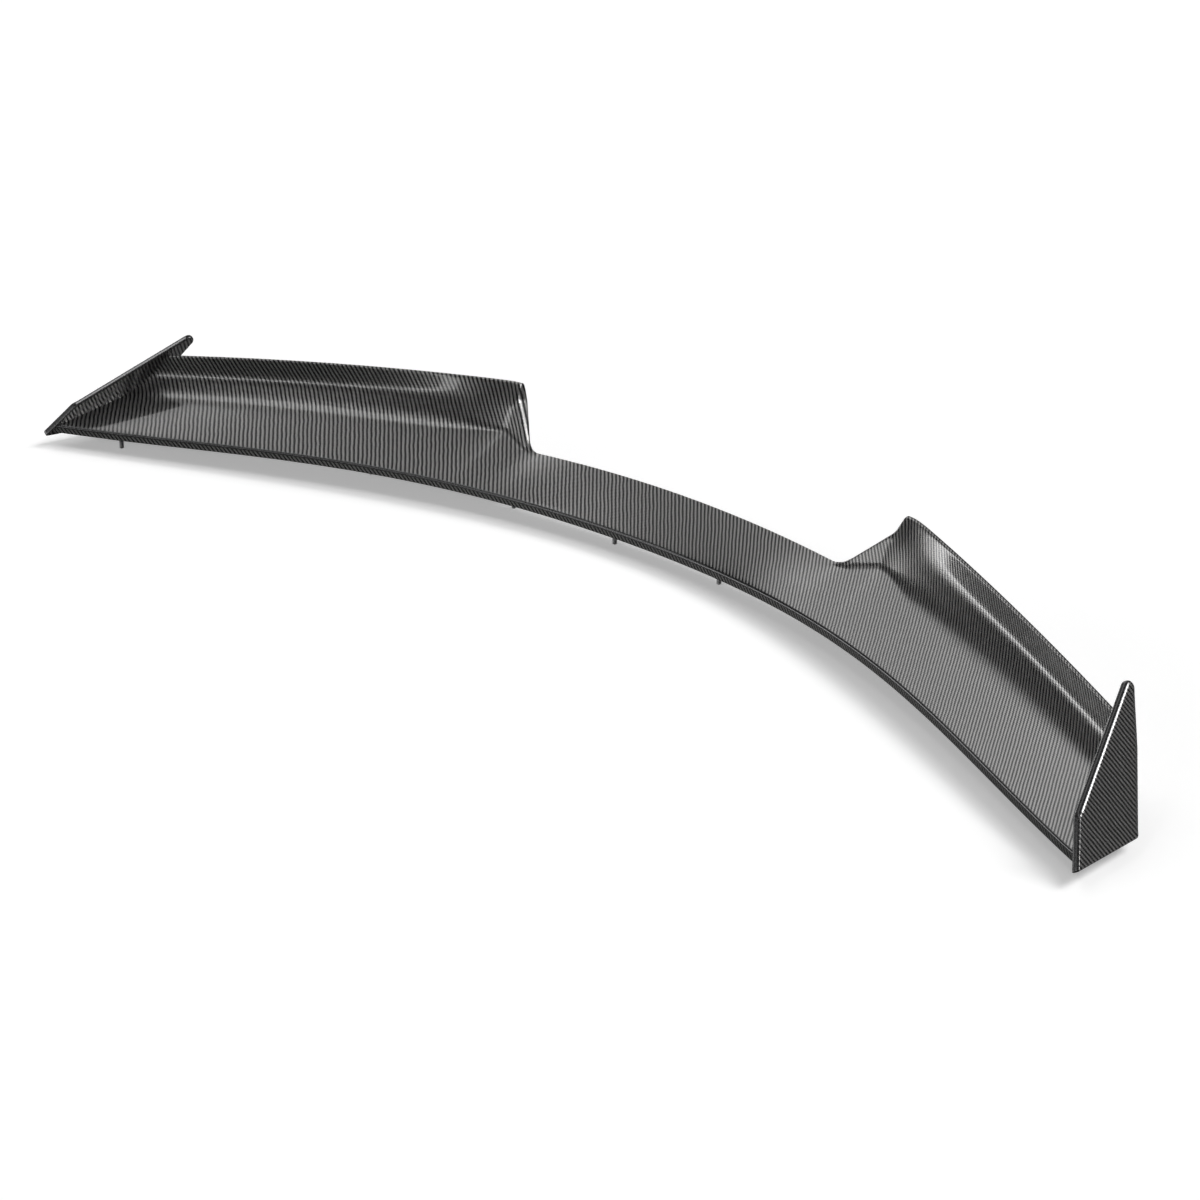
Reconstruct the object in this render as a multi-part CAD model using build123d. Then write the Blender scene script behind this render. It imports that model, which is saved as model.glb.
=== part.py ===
from build123d import *
import math
import os

# Carbon rear wing: a swept blade with two raised flaps and two leaning end plates,
# held to a rear deck by eight threaded studs. All lengths are millimetres.
#
# Working frame: X along the span, Y rearwards from the end plates' front corners,
# Z up from those corners. Every piece is shifted at the end, so that the origin is
# the centre of the bounding box at the level of the stud ends.

# ---- Driving dimensions -------------------------------------------------------
SPAN = 1730.0               # across the end plates' front corners
DEPTH = 369.0               # front corners to the rearmost point of the flap lips
STAND = 20.0                # stud ends below the end plates' front corners
SKIN = 2.0                  # laminate thickness
BOND_GAP = 0.5              # adhesive gap round ribs and cores

# Leading edge
NOSE_CENTRE_Y = 280.7       # setback of the leading edge on the centre line
NOSE_SWEEP = 372.6          # forward sweep towards the tips
NOSE_EASE = 96.3            # easing of that sweep near the tips
NOSE_HEIGHT = 10.3          # top of the nose at the centre and at the tips
NOSE_CROWN = 8.3            # extra height half way out
NOSE_CROWN_SPACING = 900.0  # from the centre line to where the crown dies out
NOSE_WALL = 10.0            # height of the upright wall under the nose
NOSE_RAKE = 1.0             # the wall's foot sits this far behind its top
NOSE_ROUND = 2.5

# Centre stretch of the trailing edge
TAIL_Y = 340.0
TAIL_HEIGHT = 56.7
TAIL_CURVE = 0.000219       # the trailing edge curves forwards with the square of x,
TAIL_DROP = 0.000102        # and falls with it
TAIL_BACKS = (18.0, 12.0, 6.0, 0.0)     # where the flap's four corners fade into the blade, from its tail

# Underside and rear face
UNDERSIDE_SLOPE = 0.12
REAR_UNDERCUT = 5.0         # rear face leans forwards by this much, going down

# Raised flaps
FLAP_ROOT_X = 262.0         # the flap grows out of the trailing edge here
FLAP_SHOULDER_X = 315.0     # end of the ramp, start of the lip's inner end
FLAP_FULL_X = 323.0         # full section from here outwards
# Lines along a flap, each as its value at FLAP_REF_X, its slope and its bow outwards
FLAP_REF_X = 330.0
BEND_Y = (328.9, -0.447, 0.0)
BEND_Z = (60.2, -0.015, -0.00006)
CREASE_Y = (347.5, -0.37, -0.00016)
CREASE_Z = (93.2, -0.045, -0.0000425)
LIP_Y = (366.7, -0.4745, 0.0)
LIP_Z = (115.4, 0.0, -0.0001165)
LIP_THICKNESS = 6.0
LIP_FALL = 1.0              # the lip's rear edge is lower than its front edge
LOW_LIP = (7.0, 2.0)        # at the ramp's end the lip is this far behind and above the crease
LIP_ROUND = 2.0
LIP_CORNER = 11.8           # each line turns forwards by this much at the flap's inner end
CREASE_CORNER = 5.0
BEND_CORNER = 4.0
FLAP_CORNER_RUN = 12.0      # how soon that turn dies out
BEND_EASE = 7.0
CREASE_EASE = 3.0
EASE_SHARE = 0.45           # most of a side that one corner's easing may take

# End plates
PLATE_THICKNESS = 9.0
PLATE_WALL = 2.5            # laminate at the rim of the end plates
PLATE_LEAN = (0.863, 0.098, 0.495)      # outward normal of an end plate
PLATE_FOOT_RUN = (-0.0907, 0.9951, -0.0381)     # direction of its bottom edge
PLATE_FOOT = 110.0          # length of the bottom edge
PLATE_KINK = (33.5, 48.8)   # front edge meets top edge, along and above the foot
PLATE_TIP = (203.0, 158.0)  # top edge meets rear edge, before rounding
PLATE_REAR = (159.5, 77.8)  # a point on the rear edge
PLATE_ROUND = 2.0
PLATE_TIP_ROUND = 7.7
PLATE_KINK_ROUND = 12.0
PLATE_HEEL_ROUND = 8.0

# Studs, from the centre outwards: x either side, y, then shared sizes
STUD_ROWS = {
    "centre": (89.0, 304.6),
    "inner": (265.2, 298.1),
    "middle": (484.3, 246.8),
    "outer": (787.9, 71.5),
}
STUD_D = 6.0
STUD_SHANK_D = 7.0          # inside the boss
STUD_PLATE_D = 30.0
STUD_PLATE_T = 1.5
BOSS_D = 24.0
BOSS_ABOVE = 4.0
BOSS_BELOW = 4.0
GASKET_HOLE_D = 9.0
GASKET_T = 3.0

# Locating pins, tape strips, ribs and dowels
PIN_X = 620.0
PIN_BEHIND_NOSE = 60.0
PIN_D = 8.0
PIN_FLANGE_D = 18.0
PIN_FLANGE_T = 2.0
PIN_LENGTH = 14.0
TAPE_WIDTH = 8.0
TAPE_T = 1.2
TAPE_INSET = 2.0
TAPE_END_X = 780.0
RIB_T = 4.0
RIB_STATIONS = {"inner": 345.0, "middle": 560.0}
LIP_CORE_START_X = 345.0
LIP_CORE_END_X = 750.0
DOWEL_D = 8.0
DOWEL_LENGTH = 12.0
DOWEL_IN_PLATE = 5.0
DOWEL_PLACES = ((55.0, 25.5), (100.0, 35.5))   # along and above the foot

ON_SURFACE = 0.01               # edges this near the outer surface count as on it
HALF_SPAN = SPAN / 2
OVERRUN_X = HALF_SPAN + 15.0    # lofts run past the end plates, then are trimmed
CENTRE_STATIONS = (0.0, 60.0, 120.0, 175.0, 220.0)
RAMP_STATIONS = (FLAP_ROOT_X, 280.0, 300.0, FLAP_SHOULDER_X, FLAP_FULL_X)
FLAP_STATIONS = (345.0, 370.0, 400.0, 450.0, 500.0, 550.0, 600.0, 650.0, 700.0, 750.0, 800.0, 840.0)
HALF_STATIONS = CENTRE_STATIONS + RAMP_STATIONS + FLAP_STATIONS + (OVERRUN_X,)
ALL_STATIONS = tuple(-x for x in reversed(HALF_STATIONS[1:])) + HALF_STATIONS


# ---- Section of the wing at a station -----------------------------------------
def mix(a, b, share):
    return tuple(p + (q - p) * share for p, q in zip(a, b))


def along(a, b, distance):
    """Point at a distance from a, towards b."""
    return mix(a, b, distance / math.dist(a, b))


def nose(x):
    """Top corner of the leading edge."""
    u = x / HALF_SPAN
    y = NOSE_CENTRE_Y - NOSE_SWEEP * u**2 + NOSE_EASE * u**4
    z = NOSE_HEIGHT + NOSE_CROWN * math.sin(math.pi * x / NOSE_CROWN_SPACING) ** 2
    return y, z


def underside(x, y):
    """Height of the underside."""
    nose_y, nose_z = nose(x)
    return nose_z - NOSE_WALL + UNDERSIDE_SLOPE * (y - nose_y)


def bowed(terms, x):
    """Value of a flap line at a station."""
    start, slope, bow = terms
    run = x - FLAP_REF_X
    return start + slope * run + bow * run**2


def flap_corners(x):
    """Bend, crease, lip front and lip rear of a full flap section."""
    turn = math.exp((FLAP_SHOULDER_X - x) / FLAP_CORNER_RUN)
    bend = (bowed(BEND_Y, x) - BEND_CORNER * turn, bowed(BEND_Z, x))
    crease = (bowed(CREASE_Y, x) - CREASE_CORNER * turn, bowed(CREASE_Z, x))
    lip = (bowed(LIP_Y, x) - LIP_CORNER * turn, bowed(LIP_Z, x))
    lip_rear = (lip[0] + LIP_THICKNESS, lip[1] - LIP_FALL)
    return bend, crease, lip, lip_rear


def tail_corners(x):
    """The same four corners where the trailing edge is plain: all on the blade's slope."""
    tail = (TAIL_Y - TAIL_CURVE * x**2, TAIL_HEIGHT - TAIL_DROP * x**2)
    front = nose(x)
    return tuple(along(tail, front, back) for back in TAIL_BACKS)


def outer_corners(x):
    """Closed outline of the wing at a station, from the foot of the nose wall round the top."""
    x = abs(x)
    if x <= FLAP_ROOT_X:
        bend, crease, lip, lip_rear = tail_corners(x)
    else:
        ramp = min(1.0, (x - FLAP_ROOT_X) / (FLAP_SHOULDER_X - FLAP_ROOT_X))
        rise = min(1.0, max(0.0, (x - FLAP_SHOULDER_X) / (FLAP_FULL_X - FLAP_SHOULDER_X)))
        root = tail_corners(FLAP_ROOT_X)
        full = flap_corners(max(x, FLAP_SHOULDER_X))
        bend = mix(root[0], full[0], ramp)
        crease = mix(root[1], full[1], ramp)
        low_lip = mix(root[2], (full[1][0] + LOW_LIP[0], full[1][1] + LOW_LIP[1]), ramp)
        low_rear = mix(root[3], (full[3][0], full[1][1]), ramp)
        lip = mix(low_lip, full[2], rise)
        lip_rear = mix(low_rear, full[3], rise)
    top = nose(x)
    foot_y = top[0] + NOSE_RAKE
    foot = (foot_y, underside(x, foot_y))
    rear_y = lip_rear[0] - REAR_UNDERCUT
    rear = (rear_y, underside(x, rear_y))
    return [foot, top, bend, crease, lip, lip_rear, rear]


def eased(corners, setbacks):
    """Outline whose corners are cut back by short flats, as far as its sides leave room."""
    outline = []
    for i, corner in enumerate(corners):
        before = corners[i - 1]
        after = corners[(i + 1) % len(corners)]
        if setbacks[i] == 0.0:
            outline.append(corner)
        else:
            shorter = min(math.dist(corner, before), math.dist(corner, after))
            setback = min(setbacks[i], EASE_SHARE * shorter)
            outline.append(along(corner, before, setback))
            outline.append(along(corner, after, setback))
    return outline


def inset(points, distance):
    """Closed outline moved inwards by a distance, with mitred corners."""
    moved = []
    for i, point in enumerate(points):
        before = points[i - 1]
        after = points[(i + 1) % len(points)]
        normals = []
        for a, b in ((before, point), (point, after)):
            length = math.dist(a, b)
            normals.append(((b[1] - a[1]) / length, (a[0] - b[0]) / length))
        (ny, nz), (my, mz) = normals
        scale = distance / (1.0 + ny * my + nz * mz)
        moved.append((point[0] + (ny + my) * scale, point[1] + (nz + mz) * scale))
    return moved


def meet(a, b, c, d):
    """Where the line through a and b crosses the line through c and d."""
    run = (b[0] - a[0], b[1] - a[1])
    other = (d[0] - c[0], d[1] - c[1])
    cross = run[0] * other[1] - run[1] * other[0]
    share = ((c[0] - a[0]) * other[1] - (c[1] - a[1]) * other[0]) / cross
    return a[0] + run[0] * share, a[1] + run[1] * share


def skins(x):
    """Outer and inner outline of the laminate: nose, bend, crease and lip are eased."""
    corners = outer_corners(x)
    outer = eased(corners, (0.0, NOSE_ROUND, BEND_EASE, CREASE_EASE, LIP_ROUND, LIP_ROUND, 0.0))
    inner = eased(inset(corners, SKIN), (0.0, 0.0, BEND_EASE, CREASE_EASE, 0.0, 0.0, 0.0))
    return outer, inner


def upper_outline(x):
    outer, inner = skins(x)
    return outer[:-1] + inner[-2::-1]


def rear_outline(x):
    outer, inner = skins(x)
    return [outer[-2], outer[-1], inner[-1], inner[-2]]


def lower_outline(x):
    outer, inner = skins(x)
    return [outer[-1], outer[0], inner[0], inner[-1]]


def bay_outline(x):
    """Hollow between blade and underside, less the bond gap."""
    foot, top, bend, _, _, lip_rear, rear = inset(outer_corners(x), SKIN + BOND_GAP)
    return [foot, top, meet(top, bend, lip_rear, rear), rear]


def lip_core_outline(x):
    """Hollow of the flap above the blade's own slope, less the bond gaps."""
    _, top, bend, crease, lip, lip_rear, rear = inset(outer_corners(x), SKIN + BOND_GAP)
    base = meet(top, bend, lip_rear, rear)
    return [along(bend, crease, BOND_GAP), crease, lip, lip_rear, along(base, lip_rear, BOND_GAP)]


def tape_outline(x, at_rear):
    corners = outer_corners(x)
    if at_rear:
        y = corners[6][0] - TAPE_INSET - TAPE_WIDTH
    else:
        y = corners[0][0] + TAPE_INSET
    low = [(y + w, underside(x, y + w) - TAPE_T) for w in (0.0, TAPE_WIDTH)]
    high = [(y + w, underside(x, y + w)) for w in (TAPE_WIDTH, 0.0)]
    return low + high


def station_face(x, points):
    wire = Polyline(*[(x, y, z) for y, z in points], close=True)
    return make_face(wire)


def span_loft(outline, stations):
    """Straight-sided loft of an outline function through the stations."""
    return loft([station_face(x, outline(x)) for x in stations], ruled=True)


# ---- End plates, drawn for the +X side ----------------------------------------
PLATE_PLANE = Plane(origin=(HALF_SPAN, 0, 0), x_dir=PLATE_FOOT_RUN, z_dir=PLATE_LEAN)
PLATE_INNER_PLANE = PLATE_PLANE.offset(-PLATE_THICKNESS)


def plate_outline():
    top = Line(PLATE_KINK, PLATE_TIP)
    rear = ThreePointArc(PLATE_TIP, PLATE_REAR, (PLATE_FOOT, 0))
    foot = Line((PLATE_FOOT, 0), (0, 0))
    front = Line((0, 0), PLATE_KINK)
    face = make_face([top, rear, foot, front])
    corners = face.vertices().sort_by(Axis.X)
    face = fillet(corners[-1], PLATE_TIP_ROUND)
    for place, radius in ((PLATE_KINK, PLATE_KINK_ROUND), ((PLATE_FOOT, 0), PLATE_HEEL_ROUND)):
        corner = face.vertices().sort_by_distance((*place, 0))[0]
        face = fillet(corner, radius)
    return face


def plate_slab(face, top, bottom):
    """The face as a slab between two depths below the outer surface."""
    return PLATE_PLANE * (Pos(0, 0, -bottom) * extrude(face, bottom - top))


def end_plate():
    """Outer shell, inner shell and core of the right-hand end plate."""
    full = plate_outline()
    core_face = offset(full, -PLATE_WALL)
    middle = PLATE_THICKNESS / 2
    core = plate_slab(core_face, SKIN, PLATE_THICKNESS - SKIN)
    outer = plate_slab(full, 0, middle) - core
    inner = plate_slab(full, middle, PLATE_THICKNESS) - core
    skin_edges = outer.edges().filter_by(lambda e: PLATE_PLANE.to_local_coords(e.center()).Z > -ON_SURFACE)
    outer = fillet(skin_edges, PLATE_ROUND)
    for hole in dowels():
        inner = inner - hole
        core = core - hole
    return outer, inner, core


def dowels():
    start = PLATE_THICKNESS - DOWEL_IN_PLATE
    pins = []
    for run, rise in DOWEL_PLACES:
        pin = Pos(run, rise, -start - DOWEL_LENGTH) * extrude(Circle(DOWEL_D / 2), DOWEL_LENGTH)
        pins.append(PLATE_PLANE * pin)
    return pins


def trimmed(shape):
    """Cut both ends of a full-span loft at the end plates' inner faces."""
    right = split(shape, bisect_by=PLATE_INNER_PLANE, keep=Keep.BOTTOM)
    turned = split(mirror(right, about=Plane.YZ), bisect_by=PLATE_INNER_PLANE, keep=Keep.BOTTOM)
    return mirror(turned, about=Plane.YZ)


# ---- Shells, ribs and cores ----------------------------------------------------
def upper_shell():
    return trimmed(span_loft(upper_outline, ALL_STATIONS))


def lower_panel(bosses):
    """The underside, with a round hole for each boss."""
    panel = trimmed(span_loft(lower_outline, ALL_STATIONS))
    for boss in bosses:
        panel = panel - boss_blank(boss)
    return panel


def rear_panels():
    """Centre panel, then the right-hand flap's panel."""
    centre = [x for x in ALL_STATIONS if abs(x) <= FLAP_ROOT_X]
    right = [x for x in ALL_STATIONS if x >= FLAP_ROOT_X]
    flap_panel = split(span_loft(rear_outline, right), bisect_by=PLATE_INNER_PLANE, keep=Keep.BOTTOM)
    return span_loft(rear_outline, centre), flap_panel


def rib(x):
    return span_loft(bay_outline, (x - RIB_T / 2, x + RIB_T / 2))


def end_rib():
    """Closing rib that lies flat against the end plate."""
    bay = span_loft(bay_outline, [x for x in HALF_STATIONS if x >= LIP_CORE_END_X])
    outer_plane = PLATE_PLANE.offset(-PLATE_THICKNESS - BOND_GAP)
    inner_plane = outer_plane.offset(-RIB_T)
    slice_ = split(bay, bisect_by=outer_plane, keep=Keep.BOTTOM)
    slice_ = split(slice_, bisect_by=inner_plane, keep=Keep.TOP)
    for hole in dowels():
        slice_ = slice_ - hole
    return slice_


def lip_core():
    filled = [x for x in FLAP_STATIONS if LIP_CORE_START_X <= x <= LIP_CORE_END_X]
    return span_loft(lip_core_outline, filled)


def tape(at_rear):
    inside = [x for x in ALL_STATIONS if abs(x) < TAPE_END_X]
    if at_rear:
        inside = [x for x in inside if abs(x) < FLAP_ROOT_X]
    else:
        inside = [-TAPE_END_X, *inside, TAPE_END_X]
    return span_loft(lambda x: tape_outline(x, at_rear), inside)


# ---- Studs and pins ------------------------------------------------------------
def upright(x, y, low, high, diameter):
    """Vertical cylinder between two heights."""
    return Pos(x, y, low) * extrude(Circle(diameter / 2), high - low)


def stud_places():
    return [(side * x, y) for x, y in STUD_ROWS.values() for side in (-1, 1)]


def boss_blank(boss):
    """The solid cylinder that a boss takes out of the lower panel."""
    box = boss.bounding_box()
    centre = box.center()
    return upright(centre.X, centre.Y, box.min.Z, box.max.Z, BOSS_D)


def stud_set():
    """Bosses, gaskets, base plates and studs, one of each at every place."""
    pieces = {"bosses": [], "gaskets": [], "plates": [], "studs": []}
    for x, y in stud_places():
        reach = BOSS_D / 2 * UNDERSIDE_SLOPE
        seat = underside(x, y) - reach - BOSS_BELOW
        shelf = underside(x, y) + SKIN + reach + BOSS_ABOVE
        shank = upright(x, y, seat, shelf, STUD_SHANK_D)
        gasket = upright(x, y, seat - GASKET_T, seat, BOSS_D)
        gasket = gasket - upright(x, y, seat - GASKET_T, seat, GASKET_HOLE_D)
        pieces["bosses"].append(upright(x, y, seat, shelf, BOSS_D) - shank)
        pieces["gaskets"].append(gasket)
        pieces["plates"].append(upright(x, y, shelf, shelf + STUD_PLATE_T, STUD_PLATE_D))
        pieces["studs"].append(upright(x, y, -STAND, seat, STUD_D) + shank)
    return pieces


def locating_pins():
    pins = []
    for side in (-1, 1):
        x = side * PIN_X
        y = nose(PIN_X)[0] + PIN_BEHIND_NOSE
        top = underside(x, y) - UNDERSIDE_SLOPE * PIN_FLANGE_D / 2 - BOND_GAP
        flange = upright(x, y, top - PIN_FLANGE_T, top, PIN_FLANGE_D)
        pins.append(flange + upright(x, y, top - PIN_LENGTH, top, PIN_D))
    return pins


# ---- Export --------------------------------------------------------------------
def mirrored(shape):
    return mirror(shape, about=Plane.YZ)


def save(name, *solids):
    placed = [Pos(0, -DEPTH / 2, STAND) * solid for solid in solids]
    shape = placed[0] if len(placed) == 1 else Compound(children=placed)
    export_step(shape, f"parts/{name}.step")


def save_pair(name, solid):
    save(f"{name}_right", solid)
    save(f"{name}_left", mirrored(solid))


def main():
    os.makedirs("parts", exist_ok=True)
    save("upper_shell", upper_shell())
    studs = stud_set()
    save("lower_panel", lower_panel(studs["bosses"]))
    centre_rear, flap_rear = rear_panels()
    save("rear_panel_centre", centre_rear)
    save_pair("rear_panel", flap_rear)
    save_pair("lip_core", lip_core())
    save("rib_centre", rib(0.0))
    for place, x in RIB_STATIONS.items():
        save_pair(f"rib_{place}", rib(x))
    save_pair("end_rib", end_rib())
    outer, inner, core = end_plate()
    save_pair("end_plate_outer", outer)
    save_pair("end_plate_inner", inner)
    save_pair("end_plate_core", core)
    right_dowels = dowels()
    save("end_plate_dowels", *right_dowels, *[mirrored(pin) for pin in right_dowels])
    for name, solids in studs.items():
        save("studs" if name == "studs" else f"stud_{name}", *solids)
    save("locating_pins", *locating_pins())
    save("front_tape", tape(at_rear=False))
    save("rear_tape", tape(at_rear=True))


if __name__ == "__main__":
    main()
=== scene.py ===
import bmesh
import bpy
import math
import numpy as np
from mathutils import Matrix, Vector


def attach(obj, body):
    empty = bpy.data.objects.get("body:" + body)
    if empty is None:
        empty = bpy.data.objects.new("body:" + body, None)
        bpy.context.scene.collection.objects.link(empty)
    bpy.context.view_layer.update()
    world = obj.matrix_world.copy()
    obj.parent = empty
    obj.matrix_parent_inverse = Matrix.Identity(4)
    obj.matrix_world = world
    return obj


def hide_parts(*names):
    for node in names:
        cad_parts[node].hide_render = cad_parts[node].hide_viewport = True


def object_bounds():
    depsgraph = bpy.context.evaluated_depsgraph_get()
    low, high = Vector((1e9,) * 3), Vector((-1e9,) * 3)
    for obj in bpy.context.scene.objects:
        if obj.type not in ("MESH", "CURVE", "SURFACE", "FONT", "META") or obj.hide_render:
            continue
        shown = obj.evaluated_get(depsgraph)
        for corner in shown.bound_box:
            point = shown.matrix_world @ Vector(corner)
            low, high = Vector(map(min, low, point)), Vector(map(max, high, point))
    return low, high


# Looks of the carbon rear wing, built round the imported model.
# The section formulas repeat the design's own, in millimetres in its working frame:
# X along the span, Y rearwards and Z up from the end plates' front corners.
# place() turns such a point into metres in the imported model's frame.

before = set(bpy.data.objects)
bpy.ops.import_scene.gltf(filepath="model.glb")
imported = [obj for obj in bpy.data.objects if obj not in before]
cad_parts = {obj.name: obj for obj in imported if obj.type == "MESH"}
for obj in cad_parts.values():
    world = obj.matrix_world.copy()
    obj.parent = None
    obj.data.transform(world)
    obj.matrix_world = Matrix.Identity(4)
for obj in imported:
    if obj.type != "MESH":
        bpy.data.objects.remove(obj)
CAD_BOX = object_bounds()

MM = 0.001
HALF_SPAN = 865.0
DEPTH = 369.0
STAND = 20.0
SKIN = 1.0                  # thin enough for the close corners at the trailing edge

# Leading edge and the plain trailing edge
NOSE_CENTRE_Y = 280.7
NOSE_SWEEP = 372.6
NOSE_EASE = 96.3
NOSE_HEIGHT = 10.3
NOSE_CROWN = 8.3
NOSE_CROWN_SPACING = 900.0
NOSE_WALL = 10.0
NOSE_RAKE = 1.0
NOSE_ROUND = 3.4
TAIL_Y = 340.0
TAIL_HEIGHT = 56.7
TAIL_CURVE = 0.000219
TAIL_DROP = 0.000102
TAIL_BACKS = (6.0, 4.4, 2.8, 0.0)       # closer to the edge than the design's own
UNDERSIDE_SLOPE = 0.12
REAR_UNDERCUT = 5.0

# Flaps: each line is its value at FLAP_REF_X, its slope and its bow outwards
FLAP_ROOT_X = 262.0
FLAP_SHOULDER_X = 315.0
FLAP_FULL_X = 323.0
RISE_LEAD = 1.0             # the lip rises from this far before the shoulder to as far past the full section
FLAP_REF_X = 330.0
BEND_Y = (328.9, -0.447, 0.0)
BEND_Z = (60.2, -0.015, -0.00006)
CREASE_Y = (347.5, -0.37, -0.00016)
CREASE_Z = (93.2, -0.045, -0.0000425)
LIP_Y = (366.7, -0.4745, 0.0)
LIP_Z = (115.4, 0.0, -0.0001165)
LIP_THICKNESS = 6.0
LIP_FALL = 1.0
LOW_LIP = (7.0, 2.0)
LIP_CORNER = 11.8
CREASE_CORNER = 5.0
BEND_CORNER = 4.0
FLAP_CORNER_RUN = 12.0
ROOT_EASE = 14.0            # the ramp starts with a curve this long either side of its root
LIP_ROUND = 2.8
CREASE_ROUND = 9.0
BEND_ROUND_INNER = 6.0      # the bend is tight at the flap's inner end and broad outwards
BEND_ROUND_OUTER = 20.0
BEND_ROUND_RUN = 110.0
EASE_SHARE = 0.45           # most of a straight side that a corner's curve may take
INNER_EASE = 0.9            # the inner surface's curves, as a share of the outer ones

# End plates
PLATE_THICKNESS = 9.0
PLATE_WALL = 2.5
PLATE_LEAN = (0.863, 0.098, 0.495)
PLATE_FOOT_RUN = (-0.0907, 0.9951, -0.0381)
PLATE_FOOT = 110.0
PLATE_KINK = (33.5, 48.8)
PLATE_TIP = (203.0, 158.0)
PLATE_REAR = (159.5, 77.8)

# Weave: two-by-two twill
TOW = 1.73 * MM
CLOTH_TURN = math.radians(-7.0)
PLATE_CLOTH_TURN = math.radians(10.0)       # the end plates' cloth lies a little further round


# ---- Section of the wing at a station ------------------------------------------
def mix(a, b, share):
    return tuple(p + (q - p) * share for p, q in zip(a, b))


def along(a, b, distance):
    return mix(a, b, distance / math.dist(a, b))


def smooth(share):
    share = min(1.0, max(0.0, share))
    return share * share * (3.0 - 2.0 * share)


def nose(x):
    u = x / HALF_SPAN
    y = NOSE_CENTRE_Y - NOSE_SWEEP * u**2 + NOSE_EASE * u**4
    z = NOSE_HEIGHT + NOSE_CROWN * math.sin(math.pi * x / NOSE_CROWN_SPACING) ** 2
    return y, z


def underside(x, y):
    nose_y, nose_z = nose(x)
    return nose_z - NOSE_WALL + UNDERSIDE_SLOPE * (y - nose_y)


def bowed(terms, x):
    start, slope, bow = terms
    run = x - FLAP_REF_X
    return start + slope * run + bow * run**2


def flap_corners(x):
    turn = math.exp((FLAP_SHOULDER_X - x) / FLAP_CORNER_RUN)
    bend = (bowed(BEND_Y, x) - BEND_CORNER * turn, bowed(BEND_Z, x))
    crease = (bowed(CREASE_Y, x) - CREASE_CORNER * turn, bowed(CREASE_Z, x))
    lip = (bowed(LIP_Y, x) - LIP_CORNER * turn, bowed(LIP_Z, x))
    lip_rear = (lip[0] + LIP_THICKNESS, lip[1] - LIP_FALL)
    return bend, crease, lip, lip_rear


def tail_corners(x):
    tail = (TAIL_Y - TAIL_CURVE * x**2, TAIL_HEIGHT - TAIL_DROP * x**2)
    return tuple(along(tail, nose(x), back) for back in TAIL_BACKS)


def ramp_share(x):
    """How far the flap has grown at a station: a straight ramp with an eased start."""
    run = x - FLAP_ROOT_X
    length = FLAP_SHOULDER_X - FLAP_ROOT_X
    if run < ROOT_EASE:
        return (run + ROOT_EASE) ** 2 / (4.0 * ROOT_EASE) / length
    return min(1.0, run / length)


def outer_corners(x):
    """Sharp corners of the section, from the foot of the nose wall round the top to the underside."""
    if x <= FLAP_ROOT_X - ROOT_EASE:
        bend, crease, lip, lip_rear = tail_corners(x)
    else:
        ramp = ramp_share(x)
        rise_length = FLAP_FULL_X - FLAP_SHOULDER_X + 2.0 * RISE_LEAD
        rise = smooth((x - FLAP_SHOULDER_X + RISE_LEAD) / rise_length)
        root = tail_corners(min(x, FLAP_ROOT_X))
        full = flap_corners(max(x, FLAP_SHOULDER_X))
        bend = mix(root[0], full[0], ramp)
        crease = mix(root[1], full[1], ramp)
        flat_lip = mix(root[2], (full[1][0] + LOW_LIP[0], full[1][1] + LOW_LIP[1]), ramp)
        low_rear = mix(root[3], (full[3][0], full[1][1]), ramp)
        lip = mix(flat_lip, full[2], rise)
        lip_rear = mix(low_rear, full[3], rise)
    top = nose(x)
    foot_y = top[0] + NOSE_RAKE
    foot = (foot_y, underside(x, foot_y))
    rear_y = lip_rear[0] - REAR_UNDERCUT
    rear = (rear_y, underside(x, rear_y))
    return [foot, top, bend, crease, lip, lip_rear, rear]


def inset(points, distance):
    """Closed outline moved inwards by a distance, with mitred corners."""
    moved = []
    for i, point in enumerate(points):
        before = points[i - 1]
        after = points[(i + 1) % len(points)]
        normals = []
        for a, b in ((before, point), (point, after)):
            length = math.dist(a, b)
            normals.append(((b[1] - a[1]) / length, (a[0] - b[0]) / length))
        (ny, nz), (my, mz) = normals
        scale = distance / (1.0 + ny * my + nz * mz)
        moved.append((point[0] + (ny + my) * scale, point[1] + (nz + mz) * scale))
    return moved


def rounded(corners, setbacks, steps, runs):
    """Open outline with curved corners, and its straight runs divided."""
    points = []
    last = len(corners) - 1
    for i, corner in enumerate(corners):
        if i in (0, last):
            curve = [corner]
        else:
            a = along(corner, corners[i - 1], setbacks[i])
            b = along(corner, corners[i + 1], setbacks[i])
            curve = [mix(mix(a, corner, k / steps[i]), mix(corner, b, k / steps[i]), k / steps[i])
                     for k in range(steps[i] + 1)]
        if points:
            start = points[-1]
            points += [mix(start, curve[0], k / runs[i - 1]) for k in range(1, runs[i - 1])]
        points += curve
    return points


# Divisions of each corner's curve, and of each straight run between them
TOP_STEPS = (0, 6, 14, 8, 6, 6, 0)
TOP_RUNS = (3, 14, 6, 6, 2, 8)
NOSE_COLUMNS = range(TOP_RUNS[0] + 1, TOP_RUNS[0] + TOP_STEPS[1])   # the nose's curve, but for its ends
PANEL_DIVISIONS = 10        # of the underside, front to back


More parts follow.
